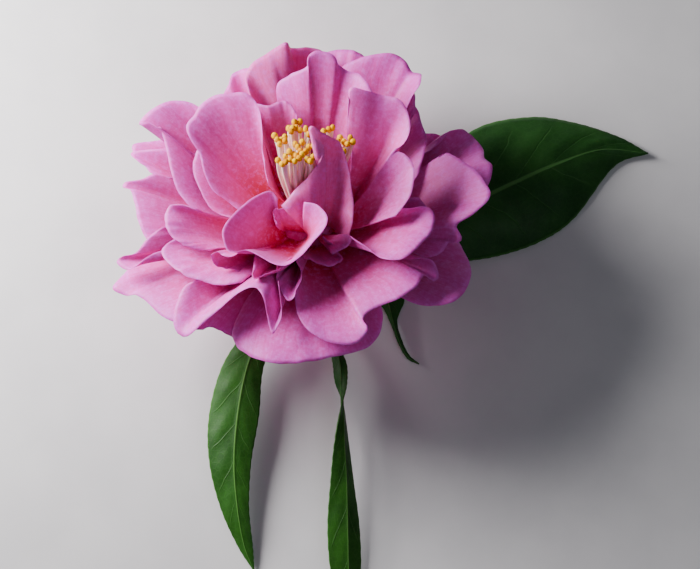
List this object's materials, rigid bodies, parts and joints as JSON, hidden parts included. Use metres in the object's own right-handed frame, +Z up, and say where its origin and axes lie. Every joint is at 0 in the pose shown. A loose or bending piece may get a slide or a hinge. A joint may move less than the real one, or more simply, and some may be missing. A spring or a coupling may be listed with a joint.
{
  "type": "camellia flower",
  "caption": "Full, loose peony-form camellia bloom with a brush of stamens, lying on its back petals with a short twig and leaves.",
  "frame": {"origin": "middle of the part's outline on the surface it lies on, at the level of that surface", "axes": "+Z up from the surface; -Y from the bloom's heart along the twig towards its cut end; +X towards the large single leaf"},
  "size_m": [0.1562, 0.1636, 0.0637],
  "materials": {
    "petal": "satin",
    "stamen": "matte",
    "pistil": "matte",
    "sepal": "satin",
    "bark": "matte",
    "leaf": "semi-gloss"
  },
  "bodies": {
    "root": {"corolla": "petal", "stamens": "stamen", "pistil": "pistil", "calyx": "sepal", "twig": "bark", "leaf_1": "leaf", "leaf_2": "leaf", "leaf_3": "leaf", "leaf_4": "leaf"}
  },
  "joints": []
}
